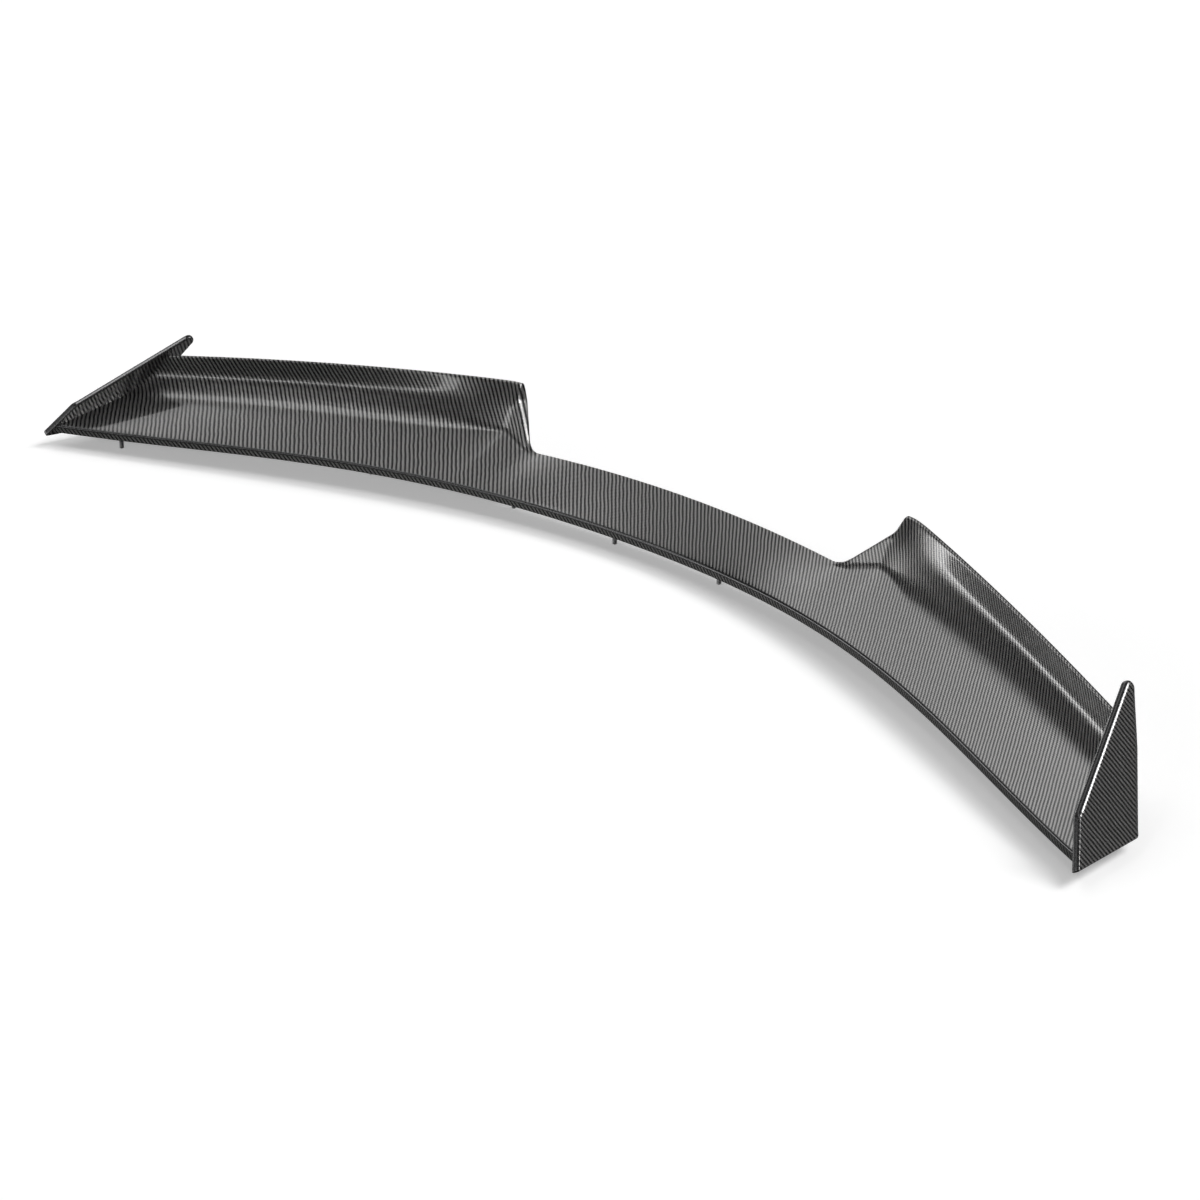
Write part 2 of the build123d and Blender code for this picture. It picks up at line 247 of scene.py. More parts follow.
def setbacks(x, corners):
    """Length of each corner's curve on either side, as far as its neighbours leave room."""
    outwards = smooth((x - FLAP_FULL_X) / BEND_ROUND_RUN)
    bend = BEND_ROUND_INNER + (BEND_ROUND_OUTER - BEND_ROUND_INNER) * outwards
    wanted = (0.0, NOSE_ROUND, bend, CREASE_ROUND, LIP_ROUND, LIP_ROUND, 0.0)
    gaps = [math.dist(a, b) for a, b in zip(corners, corners[1:])]
    return [min(w, EASE_SHARE * gaps[max(i - 1, 0)], EASE_SHARE * gaps[min(i, len(gaps) - 1)])
            for i, w in enumerate(wanted)]


def outer_outline(x):
    corners = outer_corners(x)
    return rounded(corners, setbacks(x, corners), TOP_STEPS, TOP_RUNS)


def inner_outline(x):
    corners = outer_corners(x)
    eased = [INNER_EASE * setback for setback in setbacks(x, corners)]
    return rounded(inset(corners, SKIN), eased, TOP_STEPS, TOP_RUNS)


UPPER_END = len(outer_outline(0.0)) - TOP_RUNS[-1]      # the outline's points up to the lip's rear edge


def upper_lines(x):
    return outer_outline(x)[:UPPER_END], inner_outline(x)[:UPPER_END]


def rear_lines(x):
    return outer_outline(x)[UPPER_END - 1:], inner_outline(x)[UPPER_END - 1:]


def lower_lines(x):
    outer = outer_corners(x)
    shares = [k / PANEL_DIVISIONS for k in range(PANEL_DIVISIONS + 1)]
    return [[mix(corners[-1], corners[0], share) for share in shares]
            for corners in (outer, inset(outer, SKIN))]


# ---- Span stations and meshes ---------------------------------------------------
def spaced(start, end, step):
    count = max(1, round((end - start) / step))
    return [start + (end - start) * k / count for k in range(count)]


FREE_X = 755.0              # the sections are plain up to here, then fan out to the end plate's face
FAN_ROWS = 12
# Spacing of the stations along the centre, the ramp, the lip's rise and the flap
CENTRE_STEP, RAMP_STEP, RISE_STEP, FLAP_STEP = 12.0, 2.5, 0.6, 8.0
RISE_START, RISE_END = FLAP_SHOULDER_X - 2.0 * RISE_LEAD, FLAP_FULL_X + 2.0 * RISE_LEAD
RAMP_START = FLAP_ROOT_X - ROOT_EASE
HALF_X = (spaced(0.0, RAMP_START, CENTRE_STEP) + spaced(RAMP_START, RISE_START, RAMP_STEP)
          + spaced(RISE_START, RISE_END, RISE_STEP) + spaced(RISE_END, FREE_X, FLAP_STEP) + [FREE_X])
# From there to past the end plate, each line is followed until it meets the plate's face
PROBE_STEP = 2.5
PROBE_COUNT = 51
PROBE_X = [FREE_X + k * PROBE_STEP for k in range(PROBE_COUNT)]


def unit(v):
    v = np.array(v, float)
    return v / np.linalg.norm(v)


PLATE_N = unit(PLATE_LEAN)
PLATE_U = unit(np.array(PLATE_FOOT_RUN) - PLATE_N * np.dot(PLATE_FOOT_RUN, PLATE_N))
PLATE_V = np.cross(PLATE_N, PLATE_U)
PLATE_CORNER = np.array([HALF_SPAN, 0.0, 0.0])


# The cloth runs along the leading edge: the edge's length at some stations, to a little past the tip
EDGE_STATIONS = 60
EDGE_PAST_TIP = 20.0
EDGE_POINTS = 400           # of the line that each length is measured on


def edge_length(x_end):
    """Length of the leading edge from the centre line."""
    xs = np.linspace(0.0, x_end, EDGE_POINTS)
    line = np.array([(x, *nose(x)) for x in xs])
    return np.linalg.norm(np.diff(line, axis=0), axis=1).sum()


EDGE_X = np.linspace(0.0, HALF_SPAN + EDGE_PAST_TIP, EDGE_STATIONS)
EDGE_S = np.array([edge_length(x) for x in EDGE_X])


def rows_of(lines, stations):
    """Points and cloth coordinates of an outline function at each station."""
    grid = np.array([[(x, y, z) for y, z in lines(x)] for x in stations])
    steps = np.linalg.norm(np.diff(grid[:, :, 1:], axis=1), axis=2)
    across = np.concatenate([np.zeros((len(grid), 1)), np.cumsum(steps, axis=1)], axis=1)
    cloth = np.stack([np.interp(grid[:, :, 0], EDGE_X, EDGE_S), across], axis=2)
    return grid, cloth


def picked(xs, line_x, values):
    """Values along a line, read off where its X is each of xs."""
    return np.stack([np.interp(xs, line_x, column) for column in values.T], axis=1)


def half_grid(lines, stations, to_plate):
    """Right-hand half of a surface. With to_plate it fans out to the end plate's inner face."""
    grid, cloth = rows_of(lines, stations)
    if to_plate:
        probe, probe_cloth = rows_of(lines, PROBE_X)
        depth = (probe - PLATE_CORNER) @ PLATE_N + PLATE_THICKNESS
        fan, fan_cloth = [], []
        for j in range(probe.shape[1]):
            line_x = probe[:, j, 0]
            end = np.interp(0.0, depth[:, j], line_x)
            xs = FREE_X + (end - FREE_X) * np.arange(1, FAN_ROWS + 1) / FAN_ROWS
            fan.append(picked(xs, line_x, probe[:, j]))
            fan_cloth.append(picked(xs, line_x, probe_cloth[:, j]))
        grid = np.concatenate([grid, np.stack(fan, axis=1)])
        cloth = np.concatenate([cloth, np.stack(fan_cloth, axis=1)])
    return grid, cloth


def mirrored(grid, cloth):
    """The left-hand half, in the order that joins it to the right-hand one."""
    return grid[::-1] * (-1.0, 1.0, 1.0), cloth[::-1] * (-1.0, 1.0)


def across_centre(half):
    """Grid and cloth of both halves, sharing the row on the centre line."""
    return tuple(np.concatenate([left[:-1], right]) for left, right in zip(mirrored(*half), half))


def place(points):
    """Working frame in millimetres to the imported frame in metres."""
    return (np.asarray(points, float) + (0.0, -DEPTH / 2, STAND)) * MM


CRISP_ANGLE = 40.0          # in degrees: a sharper edge than this stays crisp
THREAD_CRISP_ANGLE = 60.0


def finish_mesh(name, mesh, crisp=CRISP_ANGLE):
    """Object from a mesh, smooth but for its crisp edges."""
    work = bmesh.new()
    work.from_mesh(mesh)
    bmesh.ops.recalc_face_normals(work, faces=work.faces)
    work.to_mesh(mesh)
    work.free()
    mesh.shade_smooth()
    mesh.set_sharp_from_angle(angle=math.radians(crisp))
    piece = bpy.data.objects.new(name, mesh)
    bpy.context.scene.collection.objects.link(piece)
    return piece


def turned(points, angle):
    """Plane points turned about the origin."""
    c, s = math.cos(angle), math.sin(angle)
    return points @ np.array([[c, s], [-s, c]])


def add_layer(mesh, name, pairs):
    """Stores a pair of numbers for each point as a UV layer of the mesh."""
    layer = mesh.uv_layers.new(name=name)
    corner_points = np.zeros(len(mesh.loops), int)
    mesh.loops.foreach_get("vertex_index", corner_points)
    layer.data.foreach_set("uv", pairs[corner_points].ravel())


def add_cloth(mesh, coordinates, shares):
    """The cloth's own coordinates, in metres, and how far each point lies under thick resin."""
    add_layer(mesh, "cloth", coordinates * MM)
    add_layer(mesh, "rim", np.stack([shares, np.zeros(len(shares))], axis=1))


def laminate(name, halves, resin_columns=()):
    """Closed thin piece between an outer and an inner surface, given as two grids and their cloth."""
    (outer, outer_cloth), (inner, inner_cloth) = halves
    rows, columns = outer.shape[:2]
    size = rows * columns
    points = np.concatenate([outer.reshape(-1, 3), inner.reshape(-1, 3)])
    cloth = np.concatenate([outer_cloth.reshape(-1, 2), inner_cloth.reshape(-1, 2)])
    index = np.arange(size).reshape(rows, columns)
    faces = []
    for side in (index, index + size):
        a, b, c, d = side[:-1, :-1], side[:-1, 1:], side[1:, 1:], side[1:, :-1]
        faces += np.stack([a, b, c, d], axis=2).reshape(-1, 4).tolist()
    for rim in (index[0], index[-1], index[:, 0], index[:, -1]):
        faces += np.stack([rim[:-1], rim[1:], rim[1:] + size, rim[:-1] + size], axis=1).tolist()
    mesh = bpy.data.meshes.new(name)
    mesh.from_pydata(place(points).tolist(), [], faces)
    shares = np.zeros(columns)
    shares[list(resin_columns)] = 1.0
    add_cloth(mesh, cloth, np.tile(shares, 2 * rows))
    return finish_mesh(name, mesh)


def full_span(lines, which):
    """One surface of a full-span piece: 0 is the outer side, 1 the inner."""
    return across_centre(half_grid(lambda x: lines(x)[which], HALF_X, True))


def laminate_full(name, lines, resin_columns=()):
    return laminate(name, [full_span(lines, which) for which in (0, 1)], resin_columns)


def rear_panels():
    """Centre panel and the two flap panels."""
    centre_x = [x for x in HALF_X if x < FLAP_ROOT_X] + [FLAP_ROOT_X]
    flap_x = [FLAP_ROOT_X] + [x for x in HALF_X if x > FLAP_ROOT_X]
    centre, right, left = [], [], []
    for which in (0, 1):
        centre.append(across_centre(half_grid(lambda x: rear_lines(x)[which], centre_x, False)))
        flap = half_grid(lambda x: rear_lines(x)[which], flap_x, True)
        right.append(flap)
        left.append(mirrored(*flap))
    return {
        "rear_panel_centre": laminate("rear_closing_panel_centre", centre),
        "rear_panel_right": laminate("rear_closing_panel_right", right),
        "rear_panel_left": laminate("rear_closing_panel_left", left),
    }


# ---- End plates -----------------------------------------------------------------
# How far each edge's rounding reaches into the outer face, and each corner's radius
EDGE_SOFT = {"top": 5.5, "rear": 9.0, "foot": 1.4, "front": 1.6}
CORNER_RADIUS = {"tip": 7.7, "kink": 12.0, "heel": 8.0, "toe": 1.5}
PLATE_STEP = 1.6            # spacing of the points round an end plate
RIM_LOOPS = 4               # over this many loops the cloth sinks under the rim's resin
REACH_SHARE = 0.8           # most of the local half width that a rounding may take
REACH_SLOPE = 0.6           # how fast the reach may change round the outline
SLOPE_PASSES = 10
SMOOTH_PASSES = 6
TINY = 1e-6
CORNER_DIVISIONS = 14
RIM_BENDS = 8               # divisions of the rounded edge
OUTER_DROP = 4.2            # how deep the outer moulding's rounded edge goes
INNER_ROUND = 2.4           # reach and depth of the inner moulding's
FLAT_MARGIN = 0.4           # the flat face starts this far inside the rounding
POCKET_MARGIN = 1.2         # and the core's pocket starts at most this far inside it


def corner_arc(before, corner, after, radius):
    """Points on the arc that rounds a corner between two straight sides."""
    before, corner, after = (np.array(p, float) for p in (before, corner, after))
    a, b = unit(before - corner), unit(after - corner)
    half = math.acos(float(np.dot(a, b))) / 2
    middle = corner + unit(a + b) * radius / math.sin(half)
    start, end = corner + a * radius / math.tan(half), corner + b * radius / math.tan(half)
    first = math.atan2(*(start - middle)[::-1])
    sweep = (math.atan2(*(end - middle)[::-1]) - first + math.pi) % (2 * math.pi) - math.pi
    angles = first + sweep * np.arange(CORNER_DIVISIONS + 1) / CORNER_DIVISIONS
    return [tuple(middle + radius * np.array((math.cos(t), math.sin(t)))) for t in angles]


def plate_outline():
    """Points round an end plate (run, rise) and the reach of the rounding at each."""
    foot = (PLATE_FOOT, 0.0)
    # Each corner in turn, with the edge that follows it
    corners = (("kink", PLATE_KINK, "top"), ("tip", PLATE_TIP, "rear"), ("heel", foot, "foot"),
               ("toe", (0.0, 0.0), "front"))
    points, soft = [], []
    for i, (name, corner, edge_after) in enumerate(corners):
        edge_before = corners[i - 1][2]
        after = PLATE_REAR if name == "tip" else corners[(i + 1) % len(corners)][1]
        before = PLATE_REAR if name == "heel" else corners[i - 1][1]
        arc = corner_arc(before, corner, after, CORNER_RADIUS[name])
        points += arc
        edges = [edge_before if k < len(arc) / 2 else edge_after for k in range(len(arc))]
        soft += [EDGE_SOFT[edge] for edge in edges]
        if name == "tip":
            points.append(PLATE_REAR)
            soft.append(EDGE_SOFT["rear"])
    return resampled(np.array(points), np.array(soft))


def resampled(points, soft):
    """The closed outline at even steps. The rounding stays within the outline's local half width."""
    closed = np.vstack([points, points[:1]])
    lengths = np.concatenate([[0.0], np.cumsum(np.linalg.norm(np.diff(closed, axis=0), axis=1))])
    count = round(lengths[-1] / PLATE_STEP)
    at = np.arange(count) * lengths[-1] / count
    line = np.stack([np.interp(at, lengths, closed[:, c]) for c in (0, 1)], axis=1)
    reach = np.interp(at, lengths, np.append(soft, soft[0]))
    # Half width: the radius of the largest circle that touches the outline at the point from inside
    apart = line[None, :, :] - line[:, None, :]
    facing = np.einsum("ijc,ic->ij", apart, inward_normals(line))
    inscribed = np.full(facing.shape, np.inf)
    ahead = facing > TINY
    inscribed[ahead] = np.sum(apart**2, axis=2)[ahead] / (2.0 * facing[ahead])
    reach = np.minimum(reach, REACH_SHARE * inscribed.min(axis=1))
    for _ in range(SLOPE_PASSES):
        neighbours = np.roll(reach, 1) + np.roll(reach, -1)
        reach = np.minimum(reach, (neighbours + REACH_SLOPE * PLATE_STEP) / 2)
    for _ in range(SMOOTH_PASSES):
        reach = (np.roll(reach, 1) + 2 * reach + np.roll(reach, -1)) / 4
    return line, reach


def inward_normals(line):
    """Unit vectors into the outline, at each of its points."""
    tangent = np.roll(line, -1, axis=0) - np.roll(line, 1, axis=0)
    tangent /= np.linalg.norm(tangent, axis=1)[:, None]
    return np.stack([tangent[:, 1], -tangent[:, 0]], axis=1)


def plate_loops(line, reach, face_depth, wall_depth, drop):
    """Loops from the flat of a face, over its rounded edge and down the wall to the middle."""
    inward = inward_normals(line)
    towards = 1.0 if wall_depth > face_depth else -1.0
    loops = [(line + inward * (reach[:, None] + FLAT_MARGIN), face_depth)]
    for k in range(RIM_BENDS + 1):
        bend = math.pi / 2 * k / RIM_BENDS
        loops.append((line + inward * (reach * (1.0 - math.sin(bend)))[:, None],
                      face_depth + towards * drop * (1.0 - math.cos(bend))))
    loops.append((line, wall_depth))
    return loops


def plate_point(flat, depth, side):
    """In-plane point and depth to the working frame, on either side of the car."""
    point = PLATE_CORNER + flat[:, :1] * PLATE_U + flat[:, 1:] * PLATE_V - PLATE_N * depth
    return point * (side, 1.0, 1.0)


def plate_half(name, side, outer):
    """One moulding of an end plate: rounded rim, flat face, and a pocket for the core."""
    line, reach = plate_outline()
    middle = PLATE_THICKNESS / 2
    face = 0.0 if outer else PLATE_THICKNESS
    inward = inward_normals(line)
    soft = reach if outer else np.minimum(reach, INNER_ROUND)
    loops = plate_loops(line, soft, face, middle, OUTER_DROP if outer else INNER_ROUND)
    pocket = line + inward * np.minimum(PLATE_WALL, reach + POCKET_MARGIN)[:, None]
    pocket_depth = SKIN if outer else PLATE_THICKNESS - SKIN
    loops += [(pocket, middle), (pocket, pocket_depth)]
    count = len(line)
    points = np.concatenate([plate_point(flat, depth, side) for flat, depth in loops])
    # The cloth follows the surface over the edge, so its weave isn't stretched there
    cloth = [loops[0][0]]
    for (flat, depth), (before, before_depth) in zip(loops[1:], loops):
        run = np.sqrt(np.sum((flat - before) ** 2, axis=1) + (depth - before_depth) ** 2)
        cloth.append(cloth[-1] - inward * run[:, None])
    faces = []
    ring = np.arange(count)
    for k in range(len(loops) - 1):
        a, b = ring + k * count, np.roll(ring, -1) + k * count
        faces += np.stack([a, b, b + count, a + count], axis=1).tolist()
    faces.append(ring.tolist())
    faces.append((ring + (len(loops) - 1) * count).tolist())
    mesh = bpy.data.meshes.new(name)
    mesh.from_pydata(place(points).tolist(), [], faces)
    shares = np.interp(np.arange(len(loops)), (1, 1 + RIM_LOOPS), (0.0, 1.0))
    add_cloth(mesh, turned(np.concatenate(cloth), PLATE_CLOTH_TURN), np.repeat(shares, count))
    return finish_mesh(name, mesh)


# ---- Turned parts and studs -------------------------------------------------------
LATHE_SEGMENTS = 48


def ring_of(centre, radius, height, segments):
    """Placed points of a level ring. The radius is one number, or one for each point."""
    angles = np.linspace(0.0, 2 * math.pi, segments, endpoint=False)
    return place(np.stack([centre[0] + radius * np.cos(angles), centre[1] + radius * np.sin(angles),
                           np.full(segments, height)], axis=1))


def lathe_rings(profile, centre):
    """Placed rings for a turned profile of (radius, height)."""
    return [ring_of(centre, radius, height, LATHE_SEGMENTS) for radius, height in profile]


def ring_mesh(name, groups, closed_profile=False, crisp=CRISP_ANGLE):
    """One mesh from groups of rings, each group a closed solid."""
    points, faces = [], []
    for rings in groups:
        start = len(points)
        segments = len(rings[0])
        ring = np.arange(segments)
        for rows in rings:
            points += [tuple(p) for p in rows]
        for k in range(len(rings) - 1):
            a, b = start + k * segments + ring, start + k * segments + np.roll(ring, -1)
            faces += np.stack([a, b, b + segments, a + segments], axis=1).tolist()
        last = start + (len(rings) - 1) * segments
        if closed_profile:
            a, b = last + ring, last + np.roll(ring, -1)
            faces += np.stack([a, b, start + np.roll(ring, -1), start + ring], axis=1).tolist()
        else:
            faces.append((start + ring).tolist())
            faces.append((last + ring).tolist())
    mesh = bpy.data.meshes.new(name)
    mesh.from_pydata(points, [], faces)
    return finish_mesh(name, mesh, crisp)


STUD_PLACES = [(side * x, y) for x, y in ((89.0, 304.6), (265.2, 298.1), (484.3, 246.8), (787.9, 71.5))
               for side in (-1, 1)]
STUD_D = 6.0
STUD_PITCH = 1.0
STUD_SEGMENTS = 40
RINGS_PER_PITCH = 8
THREAD_DEPTH = 0.55
THREAD_STEEPNESS = 2.6      # thread depths that a flank would rise in one pitch
CHAMFER_LENGTH = 0.9
CHAMFER_CUT = 0.35          # the chamfered end's radius is this much under the thread's core
STUD_ENTRY = 1.0            # how far the modelled thread reaches into the boss
BOSS_D = 24.0
BOSS_CLEARANCE = 0.5        # round the stud
BOSS_MOUTH = 0.6            # chamfer where the stud comes out
BOSS_EASE = 0.8             # rounding of the seat's rim
EASE_DIVISIONS = 4
BOSS_BELOW = 4.0
BOSS_ABOVE = 4.0
GASKET_HOLE_D = 9.0
GASKET_T = 3.0
GASKET_CHAMFER = 0.3
GASKET_BULGE = 0.45
GASKET_FLAT = 0.5           # from the flat face's edge to where the bulge starts
BULGE_LOW, BULGE_RISE = 0.08, 0.84      # where the bulge starts and what it spans, of the height
BULGE_DIVISIONS = 8


def boss_seat(x, y):
    return underside(x, y) - BOSS_D / 2 * UNDERSIDE_SLOPE - BOSS_BELOW


def stud_rings(x, y):
    """A threaded rod with a chamfered end, from the floor up into its boss."""
    low, high = -STAND, boss_seat(x, y) + STUD_ENTRY
    turn = np.arange(STUD_SEGMENTS) / STUD_SEGMENTS
    core = STUD_D / 2 - THREAD_DEPTH
    rings = []
    for height in np.arange(low, high, STUD_PITCH / RINGS_PER_PITCH):
        phase = (height / STUD_PITCH - turn) % 1.0
        crest = np.clip(THREAD_STEEPNESS * (0.5 - np.abs(phase - 0.5)), 0.0, 1.0)
        chamfer = min(1.0, max(0.0, (height - low) / CHAMFER_LENGTH))
        limit = core - CHAMFER_CUT + (THREAD_DEPTH + CHAMFER_CUT) * chamfer
        radius = np.minimum(core + THREAD_DEPTH * crest, limit)
        rings.append(ring_of((x, y), radius, height, STUD_SEGMENTS))
    return rings


def boss_rings(x, y):
    """Moulded boss: a flat seat with an eased edge and a skirt into the panel."""
    seat = boss_seat(x, y)
    outer, hole = BOSS_D / 2, STUD_D / 2 + BOSS_CLEARANCE
    top = underside(x, y) + SKIN + outer * UNDERSIDE_SLOPE + BOSS_ABOVE
    profile = [(hole, seat + BOSS_MOUTH), (hole + BOSS_MOUTH, seat)]
    for k in range(EASE_DIVISIONS + 1):
        bend = math.pi / 2 * k / EASE_DIVISIONS
        profile.append((outer - BOSS_EASE * (1 - math.sin(bend)), seat + BOSS_EASE * (1 - math.cos(bend))))
    profile += [(outer, top), (hole, top)]
    return lathe_rings(profile, (x, y))


def gasket_rings(x, y):
    """Rubber ring with a bulging rim."""
    seat = boss_seat(x, y)
    low = seat - GASKET_T
    inner = GASKET_HOLE_D / 2
    rim = BOSS_D / 2 - GASKET_BULGE
    profile = [(inner, low + GASKET_CHAMFER), (inner + GASKET_CHAMFER, low), (rim - GASKET_FLAT, low)]
    for k in range(BULGE_DIVISIONS + 1):
        share = k / BULGE_DIVISIONS
        profile.append((rim + GASKET_BULGE * math.sin(math.pi * share),
                        low + GASKET_T * (BULGE_LOW + BULGE_RISE * share)))
    profile += [(rim - GASKET_FLAT, seat), (inner, seat)]
    return lathe_rings(profile, (x, y))


PIN_X = 620.0
PIN_BEHIND_NOSE = 60.0
PIN_R = 4.0
PIN_FLANGE_R = 9.0
PIN_FLANGE_T = 2.0
PIN_LENGTH = 14.0
PIN_GAP = 0.5               # the flange's high side stands clear of the sloping panel
PIN_CAP_R = 0.6             # of the small disc in the middle of each end
# Radius over the shank's, and height over the tip or over the flange's underside
PIN_TAPER = ((-2.2, 0.0), (-1.2, 0.5), (-0.1, 2.4), (0.0, 3.2))
PIN_FILLET = ((0.0, -0.8), (0.25, -0.25), (0.8, 0.0))
PIN_LOW_CHAMFER = 0.5
PIN_TOP_CHAMFER = 0.4


def pin_rings(side):
    """Locating pin: a tapered tip, a plain shank and a flange under the panel."""
    x, y = side * PIN_X, nose(PIN_X)[0] + PIN_BEHIND_NOSE
    top = underside(PIN_X, y) - UNDERSIDE_SLOPE * PIN_FLANGE_R - PIN_GAP
    under = top - PIN_FLANGE_T
    tip = top - PIN_LENGTH
    profile = [(PIN_CAP_R, tip)]
    profile += [(PIN_R + out, tip + up) for out, up in PIN_TAPER]
    profile += [(PIN_R + out, under + up) for out, up in PIN_FILLET]
    profile += [(PIN_FLANGE_R - PIN_LOW_CHAMFER, under), (PIN_FLANGE_R, under + PIN_LOW_CHAMFER)]
    profile += [(PIN_FLANGE_R, top - PIN_TOP_CHAMFER), (PIN_FLANGE_R - PIN_TOP_CHAMFER, top)]
    profile.append((PIN_CAP_R, top))
    return lathe_rings(profile, (x, y))


# ---- Materials --------------------------------------------------------------------
class Nodes:
    """Small helper that adds shader nodes and links them."""

    def __init__(self, name):
        self.material = bpy.data.materials.new(name)
        self.material.use_nodes = True
        self.tree = self.material.node_tree
        self.shader = self.tree.nodes["Principled BSDF"]

    def add(self, kind, **settings):
        node = self.tree.nodes.new(kind)
        for key, value in settings.items():
            setattr(node, key, value)
        return node

    def link(self, output, socket):
        self.tree.links.new(output, socket)

    def math(self, operation, *values):
        node = self.add("ShaderNodeMath", operation=operation)
        for socket, value in zip(node.inputs, values):
            if isinstance(value, (int, float)):
                socket.default_value = value
            else:
                self.link(value, socket)
        return node.outputs[0]

    def ramp(self, value, low, high, to_low=0.0, to_high=1.0):
        node = self.add("ShaderNodeMapRange", interpolation_type="SMOOTHSTEP")
        self.link(value, node.inputs["Value"])
        for key, number in (("From Min", low), ("From Max", high), ("To Min", to_low), ("To Max", to_high)):
            node.inputs[key].default_value = number
        return node.outputs["Result"]

    def colour(self, share, first, second):
        node = self.add("ShaderNodeMix", data_type="RGBA")
        self.link(share, node.inputs["Factor"])
        for socket, value in ((node.inputs[6], first), (node.inputs[7], second)):
            if isinstance(value, tuple):
                socket.default_value = (*value, 1.0)
            else:
                self.link(value, socket)
        return node.outputs[2]

    def set(self, **values):
        for key, value in values.items():
            self.shader.inputs[key.replace("_", " ")].default_value = value


WANDER_SCALE = 45.0         # how closely the tows wander, and how far, in tows
WANDER_REACH = 0.6
TOW_CROWN = 0.5             # a tow's rounded top, against the height of its waves
TOW_BLEND = 0.12            # how softly one tow gives way to the other
STREAK_ACROSS = 2600.0
STREAK_ALONG = 60.0
STREAK_RAMP = (0.25, 0.75, 0.72, 1.2)
GROOVE_SHADE_RAMP = (-0.1, 0.7, 0.25, 1.0)        # painted shade: the gaps between tows are darkened
WEAVE_STRENGTH = 0.5
WEAVE_DEPTH = 0.0001
WEAVE_ROUGHNESS = (0.26, 0.31)              # of the warp and the weft
# Painted sheen: the weft's pale tones stand in for the highlight that its fibres catch; the warp's near
# black is the cloth's own colour
WARP_TONES = ((0.007, 0.007, 0.008), (0.022, 0.022, 0.024))
WEFT_SHEEN_TONES = ((0.25, 0.246, 0.243), (0.46, 0.455, 0.448))
RIM_TONE = (0.09, 0.09, 0.092)              # dark cloth, seen through thick resin
MOTTLE_RAMP = (0.3, 0.7)
MOTTLE_ROUGHNESS = 0.06     # how far the roughness strays either way
MOTTLE_STRENGTH = 0.4


